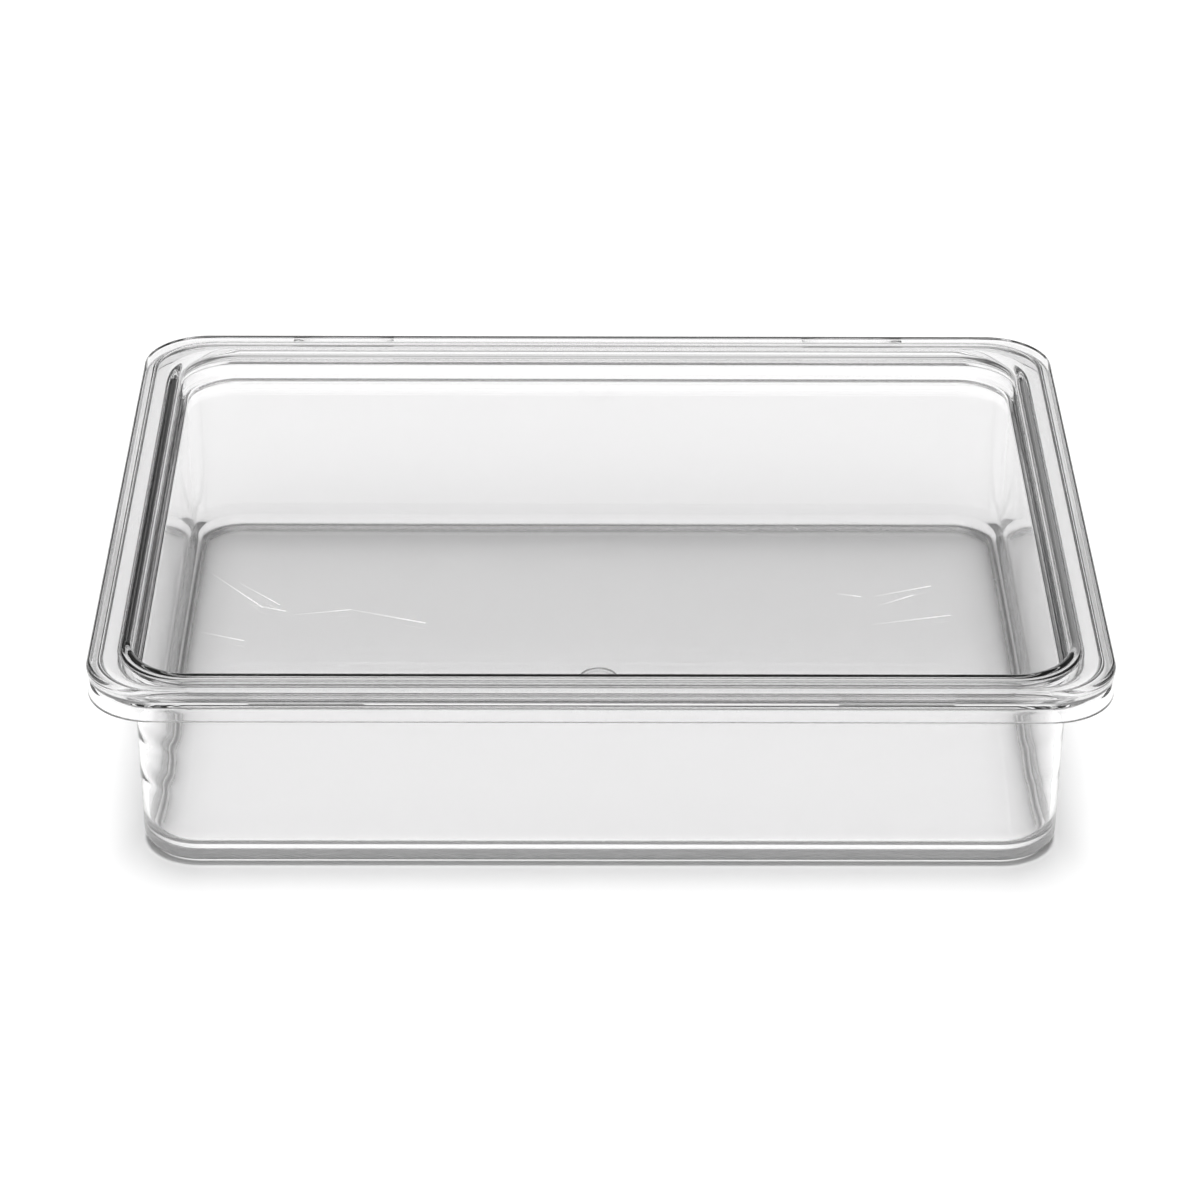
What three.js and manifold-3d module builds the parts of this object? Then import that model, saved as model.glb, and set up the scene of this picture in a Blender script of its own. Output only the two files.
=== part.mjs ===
// A clear fridge storage box and its lift-off lid, in millimetres, +Z up, the table at z = 0.
// Both mouldings are one profile carried round a rounded rectangle.
// A profile point is (inset from the outline, height).
import * as THREE from "three";
import { mergeVertices } from "three/addons/utils/BufferGeometryUtils.js";
import Module from "manifold-3d";

// Outline, shared by the rim of the lid and the flange of the box.
const LENGTH = 320;
const DEPTH = 250;
const HEIGHT = 71.5;
const RIM_RADIUS = 21;
const WALL_RADIUS = 20;

// Fits between the two pieces, and between this box and one stacked on it.
const SEAT_GAP = 0.4;
const COLLAR_GAP = 0.7;
const LEDGE_GAP = 0.4;
const STACK_GAP = 0.3;

// Box moulding.
const BASE_INSET = 13.9;
const DRAFT_DEG = 0.8;
const WALL = 2.1;
const FLOOR = 2.4;
const BASE_OUTER_FILLET = 4;
const BASE_INNER_FILLET = 8.5;
const LEDGE = 2.1;
const LEDGE_FILLET = 1.5;
const COLLAR = 1.7;
const COLLAR_FILLET = 1;
const FLANGE = 1.75;
const FLANGE_TAPER = 0.9;
const FLANGE_EDGE = 3;
const SKIRT_HEIGHT = 5.55;
const SKIRT = 1.3;
const SKIRT_FILLET = 0.6;
const SKIRT_EDGE = 0.3;

// Lid moulding.
const LID_RIM = 1.95;
const LID_RIM_HEIGHT = 4.8;
const LID_EDGE_TOP = 1.45;
const LID_LAND = 0.3;
const LID_KNEE = 2;
const LID_TAPER = 0.35;
const LID_EDGE_BOTTOM = 0.7;
const LID_LIP = 3.55;
const LID_LIP_EDGE = 0.5;
const LID_LIP_FILLET = 1.75;
const LID_DRAFT_DEG = 1;
const RECESS_DEPTH = 8.2;
const RECESS_WALL = 1.5;
const RECESS_TOP_FILLET = 2.3;
const RECESS_TOP_UNDER = 3.2;
const RECESS_FLOOR_FILLET = 3.9;
const RECESS_FLOOR_UNDER = 5;
const PANEL = 2.85;

// Small marks: the gate mark under the floor, and the reliefs under the long edges of the lid.
const GATE_OUTER_R = 6.45;
const GATE_INNER_R = 4.4;
const GATE_DEPTH = 0.4;
const RELIEF_LENGTH = 35.5;
const RELIEF_CENTRE = 90.7;
const RELIEF_DEPTH = 0.4;

// Fineness of the facets.
const CORNER_STEPS = 9;
const ARC_STEP = THREE.MathUtils.degToRad(18);
const GATE_STEPS = 40;

// Heights, from the top of the lid down.
const lidKneeZ = HEIGHT - LID_EDGE_TOP - LID_LAND;
const lidLipZ = HEIGHT - LID_RIM_HEIGHT;
const lidRimUnderZ = HEIGHT - LID_RIM;
const panelTopZ = HEIGHT - RECESS_DEPTH;
const panelUnderZ = panelTopZ - PANEL;
const flangeTopZ = lidLipZ - SEAT_GAP;
const flangeUnderZ = flangeTopZ - FLANGE;
const skirtZ = flangeTopZ - SKIRT_HEIGHT;
const ledgeTopZ = panelUnderZ - LEDGE_GAP;
const ledgeUnderZ = ledgeTopZ - LEDGE;

// Insets, from the stacking fit outwards.
const draft = Math.tan(THREE.MathUtils.degToRad(DRAFT_DEG));
const lidDraft = Math.tan(THREE.MathUtils.degToRad(LID_DRAFT_DEG));
const recessInset = BASE_INSET - STACK_GAP;
const recessMouthInset = recessInset - lidDraft * RECESS_DEPTH;
const recessOuterInset = recessInset - RECESS_WALL;
const recessOuterTopInset = recessOuterInset - lidDraft * (lidRimUnderZ - panelUnderZ);
const collarInset = recessOuterInset - lidDraft * (flangeTopZ - panelUnderZ) - COLLAR_GAP;
const collarOuterInset = collarInset - COLLAR;
const skirtTopInset = SKIRT + (FLANGE_TAPER * (flangeUnderZ - skirtZ)) / SKIRT_HEIGHT;
const wallOuterInset = (z) => BASE_INSET - draft * z;
const wallInnerInset = (z) => wallOuterInset(z) + WALL;
const floorEdgeInset = wallInnerInset(FLOOR) + BASE_INNER_FILLET + 1;
const panelEdgeInset = recessInset + Math.max(RECESS_FLOOR_FILLET, RECESS_FLOOR_UNDER) + 1;

// The plan radius eases from the rim to the wall, then follows the wall inwards at an even thickness.
function planRadius(inset) {
  const wallInset = wallOuterInset(ledgeUnderZ);
  if (inset <= wallInset) {
    return THREE.MathUtils.lerp(RIM_RADIUS, WALL_RADIUS, inset / wallInset);
  }
  return Math.max(1, WALL_RADIUS - (inset - wallInset));
}

// One level of the moulding: a rounded rectangle, counter-clockwise from above.
function ring(inset, z) {
  const r = planRadius(inset);
  const cx = LENGTH / 2 - inset - r;
  const cy = DEPTH / 2 - inset - r;
  const signs = [[1, 1], [-1, 1], [-1, -1], [1, -1]];
  const points = [];
  signs.forEach(([sx, sy], quarter) => {
    for (let i = 0; i <= CORNER_STEPS; i++) {
      const a = (quarter + i / CORNER_STEPS) * (Math.PI / 2);
      points.push(new THREE.Vector3(sx * cx + r * Math.cos(a), sy * cy + r * Math.sin(a), z));
    }
  });
  return points;
}

// Replaces each sharp corner [inset, z, radius] of a profile by an arc that touches both of its sides.
function roundedProfile(corners) {
  const at = corners.map(([inset, z]) => new THREE.Vector2(inset, z));
  const out = [at[0]];
  for (let k = 1; k < at.length - 1; k++) {
    const toBack = at[k - 1].clone().sub(at[k]).normalize();
    const toNext = at[k + 1].clone().sub(at[k]).normalize();
    const half = Math.acos(THREE.MathUtils.clamp(toBack.dot(toNext), -1, 1)) / 2;
    const radius = corners[k][2];
    const centre = toBack.clone().add(toNext).normalize();
    centre.multiplyScalar(radius / Math.sin(half)).add(at[k]);
    const start = toBack.multiplyScalar(radius / Math.tan(half)).add(at[k]).sub(centre);
    const cross = Math.sign(start.clone().cross(at[k].clone().sub(centre)));
    const sweep = Math.PI - 2 * half;
    const steps = Math.max(2, Math.ceil(sweep / ARC_STEP));
    for (let i = 0; i <= steps; i++) {
      const turn = (cross * sweep * i) / steps;
      out.push(start.clone().rotateAround(new THREE.Vector2(), turn).add(centre));
    }
  }
  out.push(at[at.length - 1]);
  return out;
}

// Carries a profile round the outline and closes both ends with a flat face.
function moulding(profile) {
  const rings = profile.map((p) => ring(p.x, p.y));
  const n = rings[0].length;
  const vertices = rings.flat();
  const index = [];
  for (let j = 0; j < rings.length - 1; j++) {
    for (let i = 0; i < n; i++) {
      const a = j * n + i;
      const b = j * n + ((i + 1) % n);
      index.push(a, b, b + n, a, b + n, a + n);
    }
  }
  [0, rings.length - 1].forEach((level) => {
    const hub = vertices.length;
    vertices.push(new THREE.Vector3(0, 0, profile[level].y));
    for (let i = 0; i < n; i++) {
      const a = level * n + i;
      const b = level * n + ((i + 1) % n);
      index.push(...(level ? [hub, a, b] : [hub, b, a]));
    }
  });
  return new THREE.BufferGeometry().setFromPoints(vertices).setIndex(index);
}

// From under the floor, up the outside, over the flange and down the inside to the floor.
const boxProfile = roundedProfile([
  [floorEdgeInset, 0],
  [BASE_INSET, 0, BASE_OUTER_FILLET],
  [wallOuterInset(ledgeUnderZ), ledgeUnderZ, LEDGE_FILLET],
  [collarOuterInset, ledgeUnderZ, LEDGE_FILLET],
  [collarOuterInset, flangeUnderZ, COLLAR_FILLET],
  [skirtTopInset, flangeUnderZ, SKIRT_FILLET],
  [SKIRT, skirtZ, SKIRT_EDGE],
  [0, skirtZ, SKIRT_EDGE],
  [FLANGE_TAPER, flangeTopZ, FLANGE_EDGE],
  [collarInset, flangeTopZ, COLLAR_FILLET],
  [collarInset, ledgeTopZ, COLLAR_FILLET],
  [wallInnerInset(ledgeTopZ), ledgeTopZ, COLLAR_FILLET],
  [wallInnerInset(FLOOR), FLOOR, BASE_INNER_FILLET],
  [floorEdgeInset, FLOOR],
]);

// From under the panel, out to the lip, over the rim and down the recess to the panel.
const lidProfile = roundedProfile([
  [panelEdgeInset, panelUnderZ],
  [recessOuterInset, panelUnderZ, RECESS_FLOOR_UNDER],
  [recessOuterTopInset, lidRimUnderZ, RECESS_TOP_UNDER],
  [LID_LIP, lidRimUnderZ, LID_LIP_FILLET],
  [LID_LIP, lidLipZ, LID_LIP_EDGE],
  [LID_TAPER, lidLipZ, LID_EDGE_BOTTOM],
  [0, lidKneeZ, LID_KNEE],
  [0, HEIGHT, LID_EDGE_TOP],
  [recessMouthInset, HEIGHT, RECESS_TOP_FILLET],
  [recessInset, panelTopZ, RECESS_FLOOR_FILLET],
  [panelEdgeInset, panelTopZ],
]);

const wasm = await Module();
wasm.setup();

function solidOf(geometry) {
  const bare = new THREE.BufferGeometry();
  bare.setAttribute("position", geometry.getAttribute("position"));
  bare.setIndex(geometry.getIndex());
  const merged = mergeVertices(bare, 1e-4);
  const vertProperties = new Float32Array(merged.getAttribute("position").array);
  const triVerts = new Uint32Array(merged.getIndex().array);
  return new wasm.Manifold(new wasm.Mesh({ numProp: 3, vertProperties, triVerts }));
}

// The groove of the gate mark, turned about the middle of the floor.
function gateGroove() {
  const section = [
    [GATE_INNER_R, -1],
    [GATE_OUTER_R, -1],
    [GATE_OUTER_R, GATE_DEPTH],
    [GATE_INNER_R, GATE_DEPTH],
    [GATE_INNER_R, -1],
  ];
  const points = section.map(([r, z]) => new THREE.Vector2(r, z));
  return new THREE.LatheGeometry(points, GATE_STEPS).rotateX(Math.PI / 2);
}

// One relief: a thin slab through the lip, from below.
function relief(sx, sy) {
  const across = 2 * LID_LIP;
  const tall = 2 * RELIEF_DEPTH;
  const slab = new THREE.BoxGeometry(RELIEF_LENGTH, across, tall);
  return slab.translate(sx * RELIEF_CENTRE, sy * (DEPTH / 2), lidLipZ);
}

function pieceOf(name, solid, material) {
  const cut = solid.getMesh();
  const geometry = new THREE.BufferGeometry();
  geometry.setAttribute("position", new THREE.BufferAttribute(cut.vertProperties, 3));
  geometry.setIndex(new THREE.BufferAttribute(cut.triVerts, 1));
  const faceted = geometry.toNonIndexed();
  faceted.computeVertexNormals();
  const mesh = new THREE.Mesh(faceted, material);
  mesh.name = name;
  return mesh;
}

function clearPlastic(color) {
  return new THREE.MeshStandardMaterial({ color, roughness: 0.05, transparent: true, opacity: 0.35 });
}

const boxSolid = solidOf(moulding(boxProfile)).subtract(solidOf(gateGroove()));

let lidSolid = solidOf(moulding(lidProfile));
for (const sx of [-1, 1]) {
  for (const sy of [-1, 1]) {
    lidSolid = lidSolid.subtract(solidOf(relief(sx, sy)));
  }
}

const part = new THREE.Group();
part.name = "fridge_storage_box";
part.add(pieceOf("storage_box", boxSolid, clearPlastic(0xe9eef0)));
part.add(pieceOf("lid", lidSolid, clearPlastic(0xe6ebee)));

export default part;
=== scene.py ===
# %% [markdown]
# # A clear fridge storage box with a lift-off lid
# The real object is two clear plastic mouldings: a shallow box with a stepped rim, and a lid
# whose sunken panel takes the base of a second box. Clear plastic has no colour of its own to
# show, so the picture is made by edges that bend light. This lesson spends its effort there:
# on smooth rounded sections, on one good plastic, and on what that plastic has to look at.

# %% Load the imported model
import math

import bpy
from mathutils import Matrix, Vector


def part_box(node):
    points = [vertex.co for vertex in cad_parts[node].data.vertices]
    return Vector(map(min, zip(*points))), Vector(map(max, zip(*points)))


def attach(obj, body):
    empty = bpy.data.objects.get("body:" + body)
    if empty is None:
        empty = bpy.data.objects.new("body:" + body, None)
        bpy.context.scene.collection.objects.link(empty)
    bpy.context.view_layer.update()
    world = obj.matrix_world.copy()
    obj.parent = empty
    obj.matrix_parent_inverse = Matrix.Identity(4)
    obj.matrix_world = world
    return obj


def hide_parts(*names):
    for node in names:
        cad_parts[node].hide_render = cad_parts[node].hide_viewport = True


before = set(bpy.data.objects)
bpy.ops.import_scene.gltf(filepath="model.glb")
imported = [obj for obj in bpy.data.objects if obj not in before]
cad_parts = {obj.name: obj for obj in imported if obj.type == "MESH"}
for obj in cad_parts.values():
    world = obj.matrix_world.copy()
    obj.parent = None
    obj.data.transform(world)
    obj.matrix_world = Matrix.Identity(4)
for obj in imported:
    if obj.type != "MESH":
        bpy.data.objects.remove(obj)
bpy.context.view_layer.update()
print("nodes in the frame:", sorted(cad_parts))

# %% [markdown]
# ## Sizes of the two mouldings
# Every size is in millimetres, as on a maker's drawing. The outline and the heights come from
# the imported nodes, so the drawing and the picture can't drift apart. A point of a section is an
# inset from the outline and a height above the table.

# %% Sizes shared by the box and the lid
MM = 0.001
lid_low, lid_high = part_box("lid")
box_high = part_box("storage_box")[1]

LENGTH = (lid_high[0] - lid_low[0]) / MM
DEPTH = (lid_high[1] - lid_low[1]) / MM
HEIGHT = lid_high[2] / MM
RIM_RADIUS = 21.0
WALL_RADIUS = 20.0
COLLAR_GAP = 0.7
LEDGE_GAP = 0.4
STACK_GAP = 0.3
print(f"outline {LENGTH:.1f} x {DEPTH:.1f} mm, {HEIGHT:.1f} mm high")

# %% Sizes of the box
BASE_INSET = 13.9
WALL_DRAFT = math.tan(math.radians(0.8))
WALL = 2.1
FLOOR = 2.4
BASE_OUTER_FILLET = 4.0
BASE_INNER_FILLET = 8.5
LEDGE = 2.1
LEDGE_FILLET = 1.5
COLLAR = 1.7
COLLAR_FILLET = 1.0
FLANGE = 1.75
FLANGE_TAPER = 0.9
FLANGE_EDGE = 3.0
SKIRT_HEIGHT = 5.55
SKIRT = 1.3
SKIRT_FILLET = 0.6
SKIRT_EDGE = 0.3

# %% Sizes of the lid
LID_RIM = 1.95
LID_RIM_HEIGHT = 4.8
LID_EDGE_TOP = 1.45
LID_LAND = 0.3
LID_KNEE = 2.0
LID_TAPER = 0.35
LID_EDGE_BOTTOM = 0.7
LID_LIP = 3.55
LID_LIP_EDGE = 0.5
LID_LIP_FILLET = 1.75
LID_DRAFT = math.tan(math.radians(1.0))
RECESS_DEPTH = 8.2
RECESS_WALL = 1.5
RECESS_TOP_FILLET = 2.3
RECESS_TOP_UNDER = 3.2
RECESS_FLOOR_FILLET = 3.9
RECESS_FLOOR_UNDER = 5.0
PANEL = 2.85

# %% Heights from the top of the lid down, and insets from the stacking fit outwards
lid_knee_z = HEIGHT - LID_EDGE_TOP - LID_LAND
lid_lip_z = HEIGHT - LID_RIM_HEIGHT
lid_rim_under_z = HEIGHT - LID_RIM
panel_top_z = HEIGHT - RECESS_DEPTH
panel_under_z = panel_top_z - PANEL
flange_top_z = box_high[2] / MM
flange_under_z = flange_top_z - FLANGE
skirt_z = flange_top_z - SKIRT_HEIGHT
ledge_top_z = panel_under_z - LEDGE_GAP
ledge_under_z = ledge_top_z - LEDGE

recess_inset = BASE_INSET - STACK_GAP
recess_mouth_inset = recess_inset - LID_DRAFT * RECESS_DEPTH
recess_outer_inset = recess_inset - RECESS_WALL
recess_outer_top_inset = recess_outer_inset - LID_DRAFT * (lid_rim_under_z - panel_under_z)
collar_inset = recess_outer_inset - LID_DRAFT * (flange_top_z - panel_under_z) - COLLAR_GAP
collar_outer_inset = collar_inset - COLLAR
skirt_top_inset = SKIRT + FLANGE_TAPER * (flange_under_z - skirt_z) / SKIRT_HEIGHT


def wall_outer_inset(z):
    return BASE_INSET - WALL_DRAFT * z


def wall_inner_inset(z):
    return wall_outer_inset(z) + WALL


floor_edge_inset = wall_inner_inset(FLOOR) + BASE_INNER_FILLET + 1
panel_edge_inset = recess_inset + max(RECESS_FLOOR_FILLET, RECESS_FLOOR_UNDER) + 1
print(f"the lid seats at {lid_lip_z:.1f} mm and its panel lies at {panel_top_z:.1f} mm")

# %% [markdown]
# ## Sections with rounded corners
# A mould is cut with round tools, so no corner of the real section is sharp. Each corner of the
# drawing carries its own radius, and this helper swaps the corner for an arc. It also puts a
# point close to each end of a straight run: smooth shading then stays on the arc and the
# straight run stays truly flat, which matters because light passes through both faces.

# %% Round a section
ARC_STEP = math.radians(7.5)
HOLD = 0.35


def rounded_section(corners):
    at = [Vector(c[:2]) for c in corners]
    runs = [[at[0]]]
    for k in range(1, len(at) - 1):
        to_back = (at[k - 1] - at[k]).normalized()
        to_next = (at[k + 1] - at[k]).normalized()
        half = to_back.angle(to_next) / 2
        radius = corners[k][2]
        centre = at[k] + (to_back + to_next).normalized() * (radius / math.sin(half))
        start = at[k] + to_back * (radius / math.tan(half)) - centre
        turn = math.copysign(math.pi - 2 * half, start.cross(at[k] - centre))
        steps = max(3, math.ceil(abs(turn) / ARC_STEP))
        arc = []
        for i in range(steps + 1):
            arc.append(centre + Matrix.Rotation(turn * i / steps, 2) @ start)
        runs.append(arc)
    runs.append([at[-1]])
    section = list(runs[0])
    for before, after in zip(runs, runs[1:]):
        along = after[0] - before[-1]
        if along.length > 3 * HOLD:
            step = along.normalized() * HOLD
            section += [before[-1] + step, after[0] - step]
        section += after
    return section


# %% [markdown]
# ## One level of a moulding
# Seen from above, every level is a rounded rectangle. The corner radius eases from the rim to the
# wall and then follows the wall inwards, as it does on a moulding of even thickness. The long
# sides carry extra stations, because the lid needs edges exactly where its reliefs begin and end.

# %% The rounded rectangle
RELIEF_LENGTH = 35.5
RELIEF_CENTRE = 90.7
RELIEF_DEPTH = 0.15
WITNESS = 0.14
CORNER_STEPS = 22
STATION_PITCH = 12.0
STATIONS_LONG = 9
STATIONS_SHORT = 7

relief_ends = [RELIEF_CENTRE - RELIEF_LENGTH / 2, RELIEF_CENTRE + RELIEF_LENGTH / 2]
plain = [STATION_PITCH * k for k in range(1, STATIONS_LONG + 1)]
plain = [x for x in plain if all(abs(x - end) > 1 for end in relief_ends)]
witness = [end + d for end in relief_ends for d in (-WITNESS, 0.0, WITNESS)]
long_half = sorted(plain + witness)
long_stations = [-x for x in reversed(long_half)] + [0.0] + long_half
short_stations = [STATION_PITCH * k for k in range(-STATIONS_SHORT, STATIONS_SHORT + 1)]


def plan_radius(inset):
    wall_inset = wall_outer_inset(ledge_under_z)
    if inset <= wall_inset:
        return RIM_RADIUS + (WALL_RADIUS - RIM_RADIUS) * inset / wall_inset
    return max(1.0, WALL_RADIUS - (inset - wall_inset))


def level(inset, z):
    r = plan_radius(inset)
    cx = LENGTH / 2 - inset - r
    cy = DEPTH / 2 - inset - r
    along_x = [-cx + 2 * HOLD] + long_stations + [cx - 2 * HOLD]
    along_y = [-cy + 2 * HOLD] + short_stations + [cy - 2 * HOLD]
    points = []
    for quarter, (sx, sy) in enumerate([(1, 1), (-1, 1), (-1, -1), (1, -1)]):
        for i in range(CORNER_STEPS + 1):
            a = (quarter + i / CORNER_STEPS) * math.pi / 2
            points.append((sx * cx + r * math.cos(a), sy * cy + r * math.sin(a), z))
        if quarter == 0:
            points += [(x, cy + r, z) for x in reversed(along_x)]
        elif quarter == 1:
            points += [(-cx - r, y, z) for y in reversed(along_y)]
        elif quarter == 2:
            points += [(x, -cy - r, z) for x in along_x]
        else:
            points += [(cx + r, y, z) for y in along_y]
    return points


print("points in one level:", len(level(0.0, 0.0)))

# %% [markdown]
# ## From levels to a moulding
# The section is carried round the outline level by level, and neighbouring levels are joined by
# four-sided faces. A lathe or a bevelled box could not do this: the section steps in and out,
# and the same loop of points has to serve all of it. The two open ends close with flat faces.


# %% Join levels into one closed mesh
def moulding(name, levels):
    n = len(levels[0])
    points = [p for ring in levels for p in ring]
    faces = [list(reversed(range(n)))]
    for j in range(len(levels) - 1):
        for i in range(n):
            a, b = j * n + i, j * n + (i + 1) % n
            faces.append((a, b, b + n, a + n))
    top = (len(levels) - 1) * n
    faces.append(list(range(top, top + n)))
    mesh = bpy.data.meshes.new(name)
    mesh.from_pydata([[v * MM for v in p] for p in points], [], faces)
    mesh.shade_smooth()
    mesh.update()
    piece = bpy.data.objects.new(name, mesh)
    bpy.context.collection.objects.link(piece)
    print(f"{name}: {len(points)} points, {len(faces)} faces")
    return piece


# %% [markdown]
# ## The box
# From under the floor the section runs up the outside of the wall, steps out over the ledge and
# the collar to the flange, turns down into a thin skirt, and comes back over the flange and down
# the inside. The gate mark, where plastic entered the mould, is a round groove under the floor.
# Its levels are circles with the same number of points, so they join onto the rest.

# %% Make the box
GATE_OUTER_R = 6.45
GATE_INNER_R = 4.4
GATE_DEPTH = 0.4
GATE_STEPS = 12
GATE_FULLNESS = 0.7

box_section = rounded_section([
    (floor_edge_inset, 0.0),
    (BASE_INSET, 0.0, BASE_OUTER_FILLET),
    (wall_outer_inset(ledge_under_z), ledge_under_z, LEDGE_FILLET),
    (collar_outer_inset, ledge_under_z, LEDGE_FILLET),
    (collar_outer_inset, flange_under_z, COLLAR_FILLET),
    (skirt_top_inset, flange_under_z, SKIRT_FILLET),
    (SKIRT, skirt_z, SKIRT_EDGE),
    (0.0, skirt_z, SKIRT_EDGE),
    (FLANGE_TAPER, flange_top_z, FLANGE_EDGE),
    (collar_inset, flange_top_z, COLLAR_FILLET),
    (collar_inset, ledge_top_z, COLLAR_FILLET),
    (wall_inner_inset(ledge_top_z), ledge_top_z, COLLAR_FILLET),
    (wall_inner_inset(FLOOR), FLOOR, BASE_INNER_FILLET),
    (floor_edge_inset, FLOOR),
])


def gate_level(radius, z):
    ring = []
    for x, y, _ in level(floor_edge_inset, 0.0):
        a = math.atan2(y, x)
        ring.append((radius * math.cos(a), radius * math.sin(a), z))
    return ring


# %% [markdown]
# ## Uneven inner corners
# Thick corners cool last and pull the skin of the plastic inwards, so the inside of an upright
# corner is never quite true. A tenth of a millimetre is enough to bend the lines seen through it.
# The inner wall gets extra levels, and its corner points move by a sum of three slow waves, most
# in the corner that faces the viewer on the left.

# %% Uneven inner corners
SINK = 0.14
SINK_STEPS = 24
SINK_SHARE = {(-1, -1): 1.0, (1, -1): 0.35, (-1, 1): 0.4, (1, 1): 0.4}
SINK_WAVES = [(0.42, 0.0, 1.0), (0.83, 1.3, 0.6), (1.37, 0.4, 0.35)]
sink_low = FLOOR + BASE_INNER_FILLET

smooth_section = list(box_section)
box_section = [smooth_section[0]]
for before, after in zip(smooth_section, smooth_section[1:]):
    if before.y - after.y > ledge_under_z / 2:
        box_section += [before.lerp(after, i / SINK_STEPS) for i in range(1, SINK_STEPS)]
    box_section.append(after)


def sunk(point, inset):
    x, y, z = point
    inside = sink_low < z < ledge_top_z - COLLAR_FILLET
    if not inside or inset < wall_outer_inset(z) + WALL / 2:
        return point
    r = plan_radius(inset)
    side = (int(math.copysign(1, x)), int(math.copysign(1, y)))
    along = max(0.0, abs(x) - (LENGTH / 2 - inset - r)) / r
    across = max(0.0, abs(y) - (DEPTH / 2 - inset - r)) / r
    bend = 4 * along * along * across * across
    fade = math.sin(math.pi * (z - sink_low) / (ledge_top_z - sink_low))
    wave = sum(share * math.sin(pace * z + start) for pace, start, share in SINK_WAVES)
    move = SINK * SINK_SHARE[side] * bend * fade * wave
    return (x - side[0] * move * along, y - side[1] * move * across, z)


# %% Put the box together
gate_section = [(GATE_INNER_R - HOLD, 0.0)]
for i in range(GATE_STEPS + 1):
    across = i / GATE_STEPS
    depth = GATE_DEPTH * math.sin(math.pi * across) ** GATE_FULLNESS
    gate_section.append((GATE_INNER_R + (GATE_OUTER_R - GATE_INNER_R) * across, depth))
gate_section.append((GATE_OUTER_R + HOLD, 0.0))

storage_box = moulding("clear_box", [gate_level(r, z) for r, z in gate_section]
                       + [[sunk(q, p.x) for q in level(p.x, p.y)] for p in box_section])
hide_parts("storage_box")
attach(storage_box, "storage_box")

# %% [markdown]
# ## The lid
# The lid's section starts under the sunken panel, climbs the outside of the recess, runs out to
# the lip, and returns over the rounded rim and down the recess. Four shallow reliefs lie under the
# long edges. At the front their ends leave thin upright witness lines on the rim, so those lines
# are cut as real grooves.

# %% Make the lid
WITNESS_DEPTH = 0.1
NEAR = 0.01

lid_section = rounded_section([
    (panel_edge_inset, panel_under_z),
    (recess_outer_inset, panel_under_z, RECESS_FLOOR_UNDER),
    (recess_outer_top_inset, lid_rim_under_z, RECESS_TOP_UNDER),
    (LID_LIP, lid_rim_under_z, LID_LIP_FILLET),
    (LID_LIP, lid_lip_z, LID_LIP_EDGE),
    (LID_TAPER, lid_lip_z, LID_EDGE_BOTTOM),
    (0.0, lid_knee_z, LID_KNEE),
    (0.0, HEIGHT, LID_EDGE_TOP),
    (recess_mouth_inset, HEIGHT, RECESS_TOP_FILLET),
    (recess_inset, panel_top_z, RECESS_FLOOR_FILLET),
    (panel_edge_inset, panel_top_z),
])


def relieved(point):
    x, y, z = point
    on_lip = abs(y) > DEPTH / 2 - LID_LIP - NEAR
    if on_lip and relief_ends[0] < abs(x) < relief_ends[1]:
        z = max(z, lid_lip_z + RELIEF_DEPTH)
    on_edge = -y > DEPTH / 2 - LID_EDGE_TOP
    if on_edge and any(abs(abs(x) - end) < NEAR for end in relief_ends):
        y += WITNESS_DEPTH
    return (x, y, z)


lid = moulding("clear_lid", [[relieved(q) for q in level(p.x, p.y)] for p in lid_section])
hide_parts("lid")
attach(lid, "lid")

# %% [markdown]
# ## Marks that both mouldings share
# A box that has been used is never perfectly clear. Hands and cloths leave a faint haze in patches
# and hairlines that all run about the same way where they were wiped. The mould itself leaves a
# slow ripple where plastic cooled unevenly. Each effect is a node group, built once here and
# placed in each plastic with its own values. The groups put out masks and heights only.


# %% A helper that opens a node group
def open_group(name, inputs, output):
    group = bpy.data.node_groups.new(name, "ShaderNodeTree")
    for socket, kind, value in inputs:
        group.interface.new_socket(socket, in_out="INPUT", socket_type=kind).default_value = value
    group.interface.new_socket(output, in_out="OUTPUT", socket_type="NodeSocketFloat")
    place = group.nodes.new("ShaderNodeTexCoord").outputs["Object"]
    return group, group.nodes.new("NodeGroupInput"), group.nodes.new("NodeGroupOutput"), place


def vector_step(tree, operation, *values):
    node = tree.nodes.new("ShaderNodeVectorMath")
    node.operation = operation
    for socket, value in zip(node.inputs, values):
        if isinstance(value, tuple):
            socket.default_value = value
        else:
            tree.links.new(value, socket)
    return node.outputs["Value" if operation in ("DOT_PRODUCT", "LENGTH") else "Vector"]


def number_step(tree, operation, *values):
    node = tree.nodes.new("ShaderNodeMath")
    node.operation = operation
    for socket, value in zip(node.inputs, values):
        if isinstance(value, (int, float)):
            socket.default_value = value
        else:
            tree.links.new(value, socket)
    return node.outputs["Value"]


def ramp_step(tree, value, low, high, to_low=0.0, to_high=1.0):
    node = tree.nodes.new("ShaderNodeMapRange")
    node.interpolation_type = "SMOOTHSTEP"
    for socket, number in zip(node.inputs[1:5], (low, high, to_low, to_high)):
        if isinstance(number, (int, float)):
            socket.default_value = number
        else:
            tree.links.new(number, socket)
    tree.links.new(value, node.inputs["Value"])
    return node.outputs["Result"]


def noise_step(tree, place, scale, detail):
    node = tree.nodes.new("ShaderNodeTexNoise")
    node.inputs["Detail"].default_value = detail
    if isinstance(scale, (int, float)):
        node.inputs["Scale"].default_value = scale
    else:
        tree.links.new(scale, node.inputs["Scale"])
    tree.links.new(place, node.inputs["Vector"])
    return node.outputs["Fac"]


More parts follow.
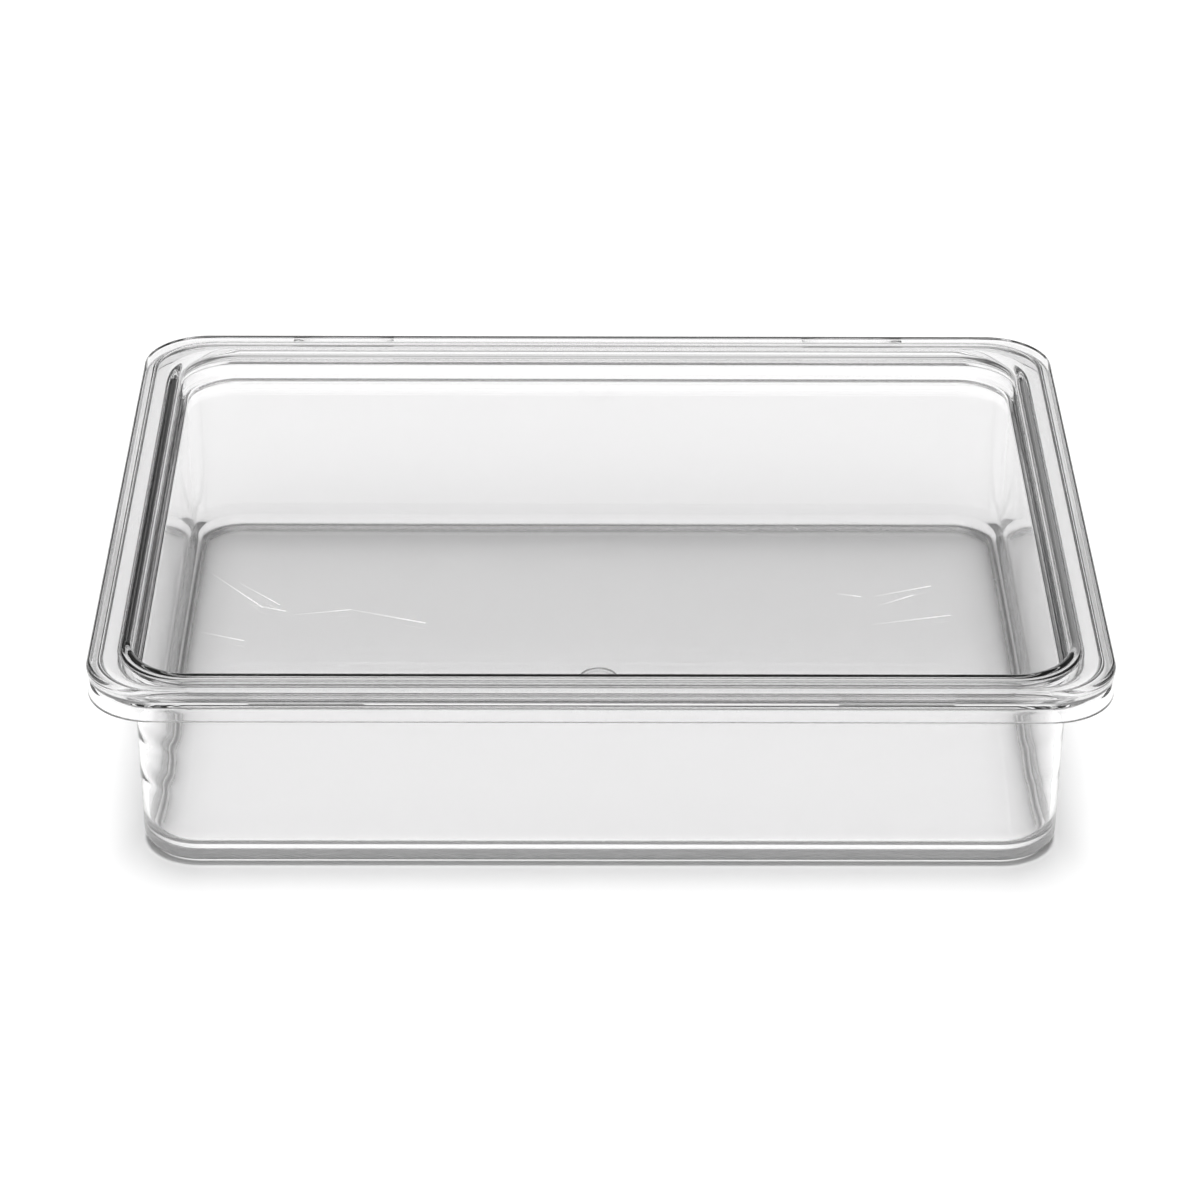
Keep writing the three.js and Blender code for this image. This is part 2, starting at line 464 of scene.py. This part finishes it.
# %% Haze left by hands and cloths
haze, given, result, place = open_group(
    "handling_haze",
    [("Patches per metre", "NodeSocketFloat", 14.0), ("Cover", "NodeSocketFloat", 0.5)],
    "Haze")
patches = noise_step(haze, place, given.outputs["Patches per metre"], 4.0)
edge = number_step(haze, "SUBTRACT", 1.05, given.outputs["Cover"])
past_edge = number_step(haze, "SUBTRACT", patches, edge)
haze.links.new(ramp_step(haze, past_edge, -0.12, 0.2), result.inputs["Haze"])

# %% Hairlines from wiping
STREAKS_PER_METRE = (18.0, 1300.0, 420.0)

hairlines, given, result, place = open_group(
    "wiping_hairlines",
    [("Angle", "NodeSocketFloat", 0.3), ("Cover", "NodeSocketFloat", 0.3)],
    "Hairlines")
turned = hairlines.nodes.new("ShaderNodeVectorRotate")
turned.rotation_type = "Z_AXIS"
hairlines.links.new(place, turned.inputs["Vector"])
hairlines.links.new(given.outputs["Angle"], turned.inputs["Angle"])
stretched = vector_step(hairlines, "MULTIPLY", turned.outputs["Vector"], STREAKS_PER_METRE)
lines = ramp_step(hairlines, noise_step(hairlines, stretched, 1.0, 1.0), 0.7, 0.78)
cloth = noise_step(hairlines, place, 22.0, 2.0)
wiped = ramp_step(hairlines, cloth, 0.62, 0.4, 0.0, given.outputs["Cover"])
hairlines.links.new(number_step(hairlines, "MULTIPLY", lines, wiped), result.inputs["Hairlines"])

# %% The slow ripple of a cooled moulding
ripple, given, result, place = open_group(
    "moulding_ripple", [("Waves per metre", "NodeSocketFloat", 30.0)], "Height")
waves = noise_step(ripple, place, given.outputs["Waves per metre"], 1.0)
ripple.links.new(waves, result.inputs["Height"])

# %% One deep scratch between two points
scratch, given, result, place = open_group(
    "deep_scratch",
    [("Start", "NodeSocketVector", (0, 0, 0)), ("End", "NodeSocketVector", (1, 0, 0)),
     ("Width", "NodeSocketFloat", 0.0003)],
    "Scratch")
from_start = vector_step(scratch, "SUBTRACT", place, given.outputs["Start"])
run = vector_step(scratch, "SUBTRACT", given.outputs["End"], given.outputs["Start"])
share = number_step(scratch, "DIVIDE", vector_step(scratch, "DOT_PRODUCT", from_start, run),
                    vector_step(scratch, "DOT_PRODUCT", run, run))
share = number_step(scratch, "MINIMUM", number_step(scratch, "MAXIMUM", share, 0.0), 1.0)
nearest = scratch.nodes.new("ShaderNodeVectorMath")
nearest.operation = "SCALE"
scratch.links.new(run, nearest.inputs[0])
scratch.links.new(share, nearest.inputs["Scale"])
sideways = vector_step(scratch, "SUBTRACT", from_start, nearest.outputs["Vector"])
away = vector_step(scratch, "LENGTH", sideways)
widths_away = number_step(scratch, "DIVIDE", away, given.outputs["Width"])
cut = ramp_step(scratch, widths_away, 1.0, 0.3)
fades = ramp_step(scratch, share, 0.0, 0.8, 0.25, 1.0)
scratch.links.new(number_step(scratch, "MULTIPLY", cut, fades), result.inputs["Scratch"])
print("groups:", sorted(g.name for g in bpy.data.node_groups))

# %% [markdown]
# ## Clear plastic
# Food boxes of this sort are moulded in a glassy, neutral plastic with an index near 1.57. Light
# for the shadow passes straight through a flat face with a small loss, so the table inside stays
# bright, and is mostly turned away by a face it only grazes, so the walls draw a soft shadow. The
# rounded edge of the base turns it away too, which leaves a thin dark line where the box stands.
# The marks raise the roughness: hairlines on the level faces that get wiped, haze anywhere, and
# scratches on the panel. A scratch scatters lamp light to every side, and a weak painted glow, a
# painted highlight, stands in for that. The base of the box is matt from standing on shelves.


# %% The plastic
PLASTIC_INDEX = 1.57
PLASTIC_TINT = (0.99, 0.988, 0.99)
SHADOW_TINT = (0.998, 0.998, 0.998)
HAZE_ROUGHNESS = 0.01
CUT_ROUGHNESS = 0.28
# strength of the painted highlight: a glow on the scratches in place of lamp light they scatter
SCRATCH_PAINTED_HIGHLIGHT = 0.4
BASE_ROUGHNESS = 0.4
BASE_SKIN = (0.6 * MM, 0.3 * MM)
BASE_EDGE_TOP = (2.3 * MM, 1.9 * MM)
GRAZING = (0.45, 1.1)
RIPPLE_STRENGTH = 0.15
RIPPLE_DEPTH = 0.3 * MM


def clear_plastic(name, hairline_angle, strokes, stands_on_shelf):
    mat = bpy.data.materials.new(name)
    mat.use_nodes = True
    tree = mat.node_tree
    nodes, links = tree.nodes, tree.links

    def placed(group, **values):
        node = nodes.new("ShaderNodeGroup")
        node.node_tree = group
        for socket, value in values.items():
            node.inputs[socket.replace("_", " ")].default_value = value
        return node.outputs[0]

    hazy = placed(haze, Patches_per_metre=13.0, Cover=0.48)
    wiped = number_step(tree, "MAXIMUM", placed(hairlines, Angle=hairline_angle, Cover=0.5),
                        placed(hairlines, Angle=hairline_angle + 0.7, Cover=0.3))
    facing = nodes.new("ShaderNodeNewGeometry").outputs["True Normal"]
    upward = vector_step(tree, "DOT_PRODUCT", facing, (0.0, 0.0, 1.0))
    level_face = number_step(tree, "ABSOLUTE", upward)
    cuts = number_step(tree, "MULTIPLY", wiped, ramp_step(tree, level_face, 0.97, 0.995))
    bright = None
    for start, end, width in strokes:
        stroke = placed(scratch, Start=start, End=end, Width=width)
        bright = number_step(tree, "MAXIMUM", bright, stroke) if bright else stroke
    if bright:
        cuts = number_step(tree, "MAXIMUM", cuts, bright)
    rough = number_step(tree, "ADD", number_step(tree, "MULTIPLY", hazy, HAZE_ROUGHNESS),
                        number_step(tree, "MULTIPLY", cuts, CUT_ROUGHNESS))
    slant = nodes.new("ShaderNodeLayerWeight")
    passes = ramp_step(tree, slant.outputs["Facing"], *GRAZING, 1.0, 0.0)
    if stands_on_shelf:
        spot = nodes.new("ShaderNodeTexCoord").outputs["Object"]
        height = vector_step(tree, "DOT_PRODUCT", spot, (0.0, 0.0, 1.0))
        matt = ramp_step(tree, height, *BASE_SKIN, 0.0, BASE_ROUGHNESS)
        rough = number_step(tree, "ADD", rough, matt)
        curved = ramp_step(tree, level_face, 0.97, 0.92)
        base_edge = number_step(tree, "MULTIPLY", curved, ramp_step(tree, height, *BASE_EDGE_TOP))
        let_by = number_step(tree, "SUBTRACT", 1.0, base_edge)
        passes = number_step(tree, "MULTIPLY", passes, let_by)
    bump = nodes.new("ShaderNodeBump")
    bump.inputs["Strength"].default_value = RIPPLE_STRENGTH
    bump.inputs["Distance"].default_value = RIPPLE_DEPTH
    links.new(placed(ripple, Waves_per_metre=24.0), bump.inputs["Height"])

    shader = nodes["Principled BSDF"]
    shader.inputs["Base Color"].default_value = (*PLASTIC_TINT, 1)
    shader.inputs["IOR"].default_value = PLASTIC_INDEX
    shader.inputs["Transmission Weight"].default_value = 1.0
    links.new(rough, shader.inputs["Roughness"])
    # painted highlight: the scratch mask drives a weak glow in place of scattered lamp light
    if bright:
        links.new(bright, shader.inputs["Emission Color"])
        shader.inputs["Emission Strength"].default_value = SCRATCH_PAINTED_HIGHLIGHT
    links.new(bump.outputs["Normal"], shader.inputs["Normal"])
    clear = nodes.new("ShaderNodeBsdfTransparent")
    clear.inputs["Color"].default_value = (*SHADOW_TINT, 1)
    path = nodes.new("ShaderNodeLightPath")
    mix = nodes.new("ShaderNodeMixShader")
    shadow = number_step(tree, "MULTIPLY", path.outputs["Is Shadow Ray"], passes)
    links.new(shadow, mix.inputs["Fac"])
    links.new(shader.outputs[0], mix.inputs[1])
    links.new(clear.outputs[0], mix.inputs[2])
    links.new(mix.outputs[0], nodes["Material Output"].inputs["Surface"])
    return mat


# %% [markdown]
# ## Where the plastic goes
# The panel of the lid gets scratched where the next box is set down, so its deep scratches lie in
# two clusters near the ends. Each is a start, an end and a width in millimetres, seen from above.

# %% Put the plastic on both mouldings
SCRATCHES = [
    (-125.5, -36.5, -108.5, -57.5, 0.392),
    (-116.5, -42.0, -103.0, -56.0, 0.308),
    (-98.5, -62.5, -80.0, -59.0, 0.28),
    (-80.0, -59.0, -56.0, -67.5, 0.42),
    (-112.0, -56.0, -101.0, -60.0, 0.42),
    (-127.0, -73.5, -113.0, -79.0, 0.336),
    (88.0, -50.0, 107.0, -43.0, 0.392),
    (89.0, -56.0, 101.0, -49.0, 0.336),
    (87.0, -68.0, 112.0, -62.0, 0.364),
    (76.0, -48.0, 84.0, -50.0, 0.336),
]

strokes = []
for x0, y0, x1, y1, width in SCRATCHES:
    start = (x0 * MM, y0 * MM, panel_top_z * MM)
    end = (x1 * MM, y1 * MM, panel_top_z * MM)
    strokes.append((start, end, width * MM))

storage_box.data.materials.append(clear_plastic("box_plastic", 1.2, [], True))
lid.data.materials.append(clear_plastic("lid_plastic", 0.25, strokes, False))
print("scratches on the panel:", len(strokes))

# %% [markdown]
# ## The table
# A wide pale sheet carries the box and its shadow. It lies a hair below the base, so the two
# surfaces never share a plane, and it reaches far enough that rays bent by the rim still find it.

# %% Lay the table
TABLE_HALF = 12.0
TABLE_DROP = 0.0002

table_mesh = bpy.data.meshes.new("pale_table")
table_corners = [(-1, -1), (1, -1), (1, 1), (-1, 1)]
table_points = [(x * TABLE_HALF, y * TABLE_HALF, 0) for x, y in table_corners]
table_mesh.from_pydata(table_points, [], [(0, 1, 2, 3)])
table = bpy.data.objects.new("pale_table", table_mesh)
bpy.context.collection.objects.link(table)
table.location.z = -TABLE_DROP

table_paint = bpy.data.materials.new("pale_table")
table_paint.use_nodes = True
table_shader = table_paint.node_tree.nodes["Principled BSDF"]
table_shader.inputs["Base Color"].default_value = (0.92, 0.92, 0.92, 1)
table_shader.inputs["Roughness"].default_value = 0.7
table_shader.inputs["Specular IOR Level"].default_value = 0.2
table_mesh.materials.append(table_paint)

# %% [markdown]
# ## The room
# Clear plastic shows what its edges bend towards, so the room matters as much as the shape. Here
# it is a dim room with a pale band low down, strong straight behind the box, weaker on the left
# and gone towards the back right, and with one broad soft window high in front. The dark parts
# draw the black lines along the rim, and the window puts the light back into the inner corners.

# %% Build the room
BAND_TOP = 0.2
BAND_SOFT = 0.2
BAND_BACK = 0.8
BAND_LEFT = 0.28
BAND_RIGHT = 0.12
BAND_BACK_RIGHT = 0.0
BAND_FRONT = 0.4
UPPER_BACK = 0.12
UPPER_FRONT = 0.45
WINDOW = 1.0
WINDOW_RISE = math.radians(66)
BACK_RIGHT = 0.6
back_right = (math.sin(BACK_RIGHT), math.cos(BACK_RIGHT), 0.0)

world = bpy.data.worlds.new("dim_room")
bpy.context.scene.world = world
world.use_nodes = True
room_tree = world.node_tree
room = room_tree.nodes["Background"]
looking = room_tree.nodes.new("ShaderNodeTexCoord").outputs["Generated"]


def room_mix(factor, first, second):
    mix = room_tree.nodes.new("ShaderNodeMix")
    room_tree.links.new(factor, mix.inputs["Factor"])
    for socket, value in ((mix.inputs["A"], first), (mix.inputs["B"], second)):
        if isinstance(value, float):
            socket.default_value = value
        else:
            room_tree.links.new(value, socket)
    return mix.outputs["Result"]


def towards(direction, low, high):
    share = vector_step(room_tree, "DOT_PRODUCT", looking, direction)
    return ramp_step(room_tree, share, low, high)


band = room_mix(towards((1.0, 0.0, 0.0), -0.3, 0.3), BAND_LEFT, BAND_RIGHT)
band = room_mix(towards(back_right, 0.86, 0.92), band, BAND_BACK_RIGHT)
band = room_mix(towards((0.0, 1.0, 0.0), 0.955, 0.985), band, BAND_BACK)
band = room_mix(towards((0.0, -1.0, 0.0), 0.3, 0.7), band, BAND_FRONT)
upper = room_mix(towards((0.0, -1.0, 0.0), 0.1, 0.5), UPPER_BACK, UPPER_FRONT)
walls = room_mix(towards((0.0, 0.0, 1.0), BAND_TOP, BAND_TOP + BAND_SOFT), band, upper)
window = towards((0.0, -math.cos(WINDOW_RISE), math.sin(WINDOW_RISE)), 0.85, 0.91)
room_tree.links.new(room_mix(window, walls, WINDOW), room.inputs["Color"])

# %% [markdown]
# ## The lamp
# One broad soft light comes from high up and a little behind the box, so the shadow of the walls
# falls forwards. The plastic does not see the lamp itself, as a box under a real ceiling light is
# seldom tilted so that the lamp shows in it.

# %% Hang the lamp
LAMP_STRENGTH = 3.15
LAMP_SPREAD = math.radians(34)
LAMP_TILT = math.radians(18)

soft_light = bpy.data.lights.new("soft_light", "SUN")
soft_light.energy = LAMP_STRENGTH
soft_light.angle = LAMP_SPREAD
soft_lamp = bpy.data.objects.new("soft_light", soft_light)
bpy.context.collection.objects.link(soft_lamp)
soft_lamp.rotation_euler.x = -LAMP_TILT
soft_lamp.location = (0, 0.3, 1.5)
soft_lamp.visible_glossy = False
soft_lamp.visible_transmission = False
print(f"one soft lamp over a table of {2 * TABLE_HALF:.0f} m")

# %% [markdown]
# ## The camera
# The view is that of a person standing at the table, about thirty degrees down, with a long lens
# so that the sides hardly converge. The pose came from fitting measured edges of the object, so it
# has a little turn and roll of its own.

# %% Camera
PITCH = math.radians(29.578)
YAW = math.radians(0.471)
ROLL = math.radians(0.327)
DISTANCE = 1433.6
AIM = Vector((0.3, 0.0, 33.5))
LENS = 127.9

ahead = Vector((math.sin(YAW) * math.cos(PITCH),
                math.cos(YAW) * math.cos(PITCH),
                -math.sin(PITCH)))
right = Vector((math.cos(YAW), -math.sin(YAW), 0))
up = right.cross(ahead)
right_r = right * math.cos(ROLL) + up * math.sin(ROLL)
up_r = up * math.cos(ROLL) - right * math.sin(ROLL)
cam_data = bpy.data.cameras.new("camera")
cam_data.lens = LENS
cam_data.sensor_width = 36.0
camera = bpy.data.objects.new("camera", cam_data)
bpy.context.collection.objects.link(camera)
place = (AIM - ahead * DISTANCE) * MM
camera.matrix_world = Matrix(((right_r.x, up_r.x, -ahead.x, place.x),
                              (right_r.y, up_r.y, -ahead.y, place.y),
                              (right_r.z, up_r.z, -ahead.z, place.z),
                              (0, 0, 0, 1)))
bpy.context.scene.camera = camera
print("camera at", [round(v, 4) for v in place])

# %% [markdown]
# ## How far light is followed
# A ray that is led along inside the plastic meets its faces dozens of times, and real plastic is
# never perfectly clear, so some of that light is lost. Following light for only twelve steps is a
# rough stand-in for the loss, and it draws the dark lines.

# %% Follow light for twelve steps
LIGHT_STEPS = 12

scene = bpy.context.scene
scene.view_settings.view_transform = "Standard"
scene.cycles.max_bounces = LIGHT_STEPS
scene.cycles.transmission_bounces = LIGHT_STEPS
scene.cycles.glossy_bounces = LIGHT_STEPS
scene.cycles.transparent_max_bounces = 32
